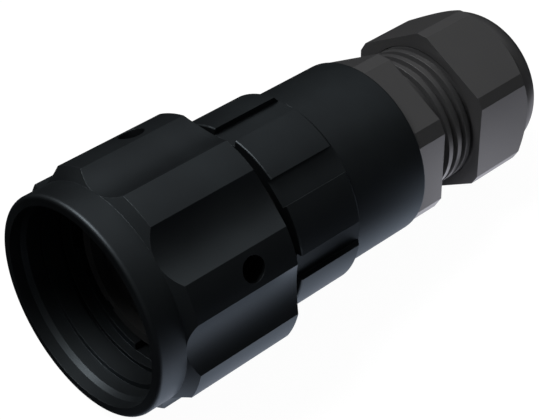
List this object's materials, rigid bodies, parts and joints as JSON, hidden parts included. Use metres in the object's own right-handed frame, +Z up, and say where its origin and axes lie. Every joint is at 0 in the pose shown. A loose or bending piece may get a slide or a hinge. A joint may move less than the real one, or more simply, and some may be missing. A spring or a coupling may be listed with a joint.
{
  "type": "circular cable connector",
  "caption": "Circular cable plug with a scalloped bayonet coupling ring, padded adapter barrel and a plastic cable gland with a domed nut, lying on its side.",
  "frame": {"origin": "on the surface that the plug lies on, under the middle of its bounding box", "axes": "+X along the plug towards the cable end, +Z up, +Y to the left seen from the cable end"},
  "size_m": [0.0926, 0.0384, 0.0398],
  "materials": {
    "black_metal": "black anodised, satin",
    "gland_plastic": "dark grey polyamide, fine moulded grain",
    "black_rubber": "matte",
    "insulator": "black moulded thermoset",
    "contact_metal": "gold flash",
    "spring_steel": "dark oiled"
  },
  "bodies": {
    "plug_body": {"adapter_barrel": "black_metal", "clamping_claw": "gland_plastic", "contact_1": "contact_metal", "contact_2": "contact_metal", "contact_3": "contact_metal", "contact_4": "contact_metal", "contact_5": "contact_metal", "contact_6": "contact_metal", "contact_middle": "contact_metal", "front_insulator": "insulator", "gland_body": "gland_plastic", "gland_seal": "black_rubber", "grommet_follower": "gland_plastic", "plug_shell": "black_metal", "rear_grommet": "black_rubber", "sealing_insert": "black_rubber", "shell_gasket": "black_rubber", "shell_seal": "black_rubber"},
    "coupling": {"coupling_ring": "black_metal", "retaining_ring": "spring_steel", "thrust_washer": "spring_steel", "wave_washer": "spring_steel"},
    "slip": {"slip_ring": "gland_plastic"},
    "nut": {"pressure_nut": "gland_plastic"}
  },
  "joints": [
    {"name": "ring_turn", "type": "hinge", "parent": "plug_body", "child": "coupling", "pos_m": [-0.03307, 0, 0.02018], "axis": [0.9974, 0, -0.0727], "continuous": true},
    {"name": "nut_advance", "type": "slide", "parent": "plug_body", "child": "slip", "axis": [0.9974, 0, -0.0727], "range_m": [-0.00158, 0.0063]},
    {"name": "nut_turn", "type": "hinge", "parent": "slip", "child": "nut", "pos_m": [0.03475, 0, 0.01523], "axis": [0.9974, 0, -0.0727], "range_deg": [-270, 1080]}
  ],
  "couplings": [
    {"joint": "nut_advance", "follows": "nut_turn", "m_per_rad": 0.00033423}
  ]
}
